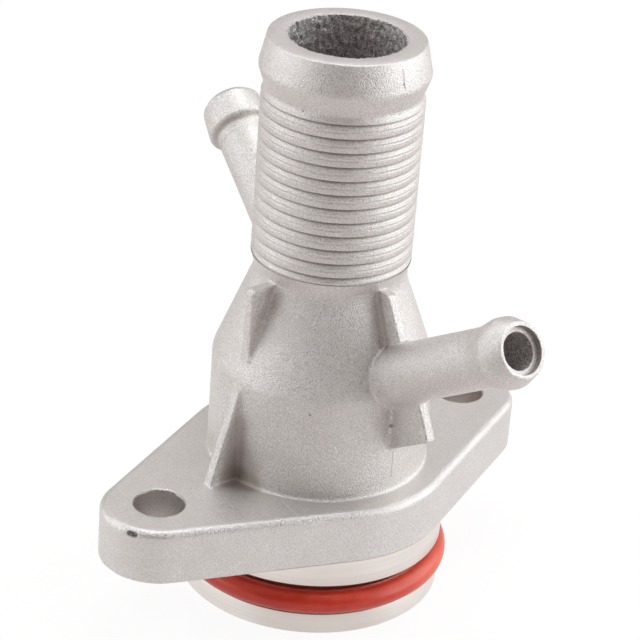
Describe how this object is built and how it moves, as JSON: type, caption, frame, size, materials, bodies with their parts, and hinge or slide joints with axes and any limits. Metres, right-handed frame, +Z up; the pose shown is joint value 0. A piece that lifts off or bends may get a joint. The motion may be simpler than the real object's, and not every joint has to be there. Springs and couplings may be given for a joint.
{
  "type": "coolant outlet fitting",
  "caption": "Cast aluminium coolant outlet: two-bolt flange over a sealed spigot, a ringed hose tail and small beaded side pipes.",
  "frame": {"origin": "centre of the line between the two bolt holes, on the flange's mounting face", "axes": "+Z up along the hose tail, away from the spigot; X through the two bolt holes; the side stub leans towards -Y"},
  "size_m": [0.0874, 0.0916, 0.0983],
  "materials": {
    "cast_aluminium": "shot-blasted casting with turned lands on the spigot",
    "seal_rubber": "smooth red rubber with a soft sheen"
  },
  "bodies": {
    "root": {"outlet_casting": "cast_aluminium", "o_ring": "seal_rubber"}
  },
  "joints": []
}
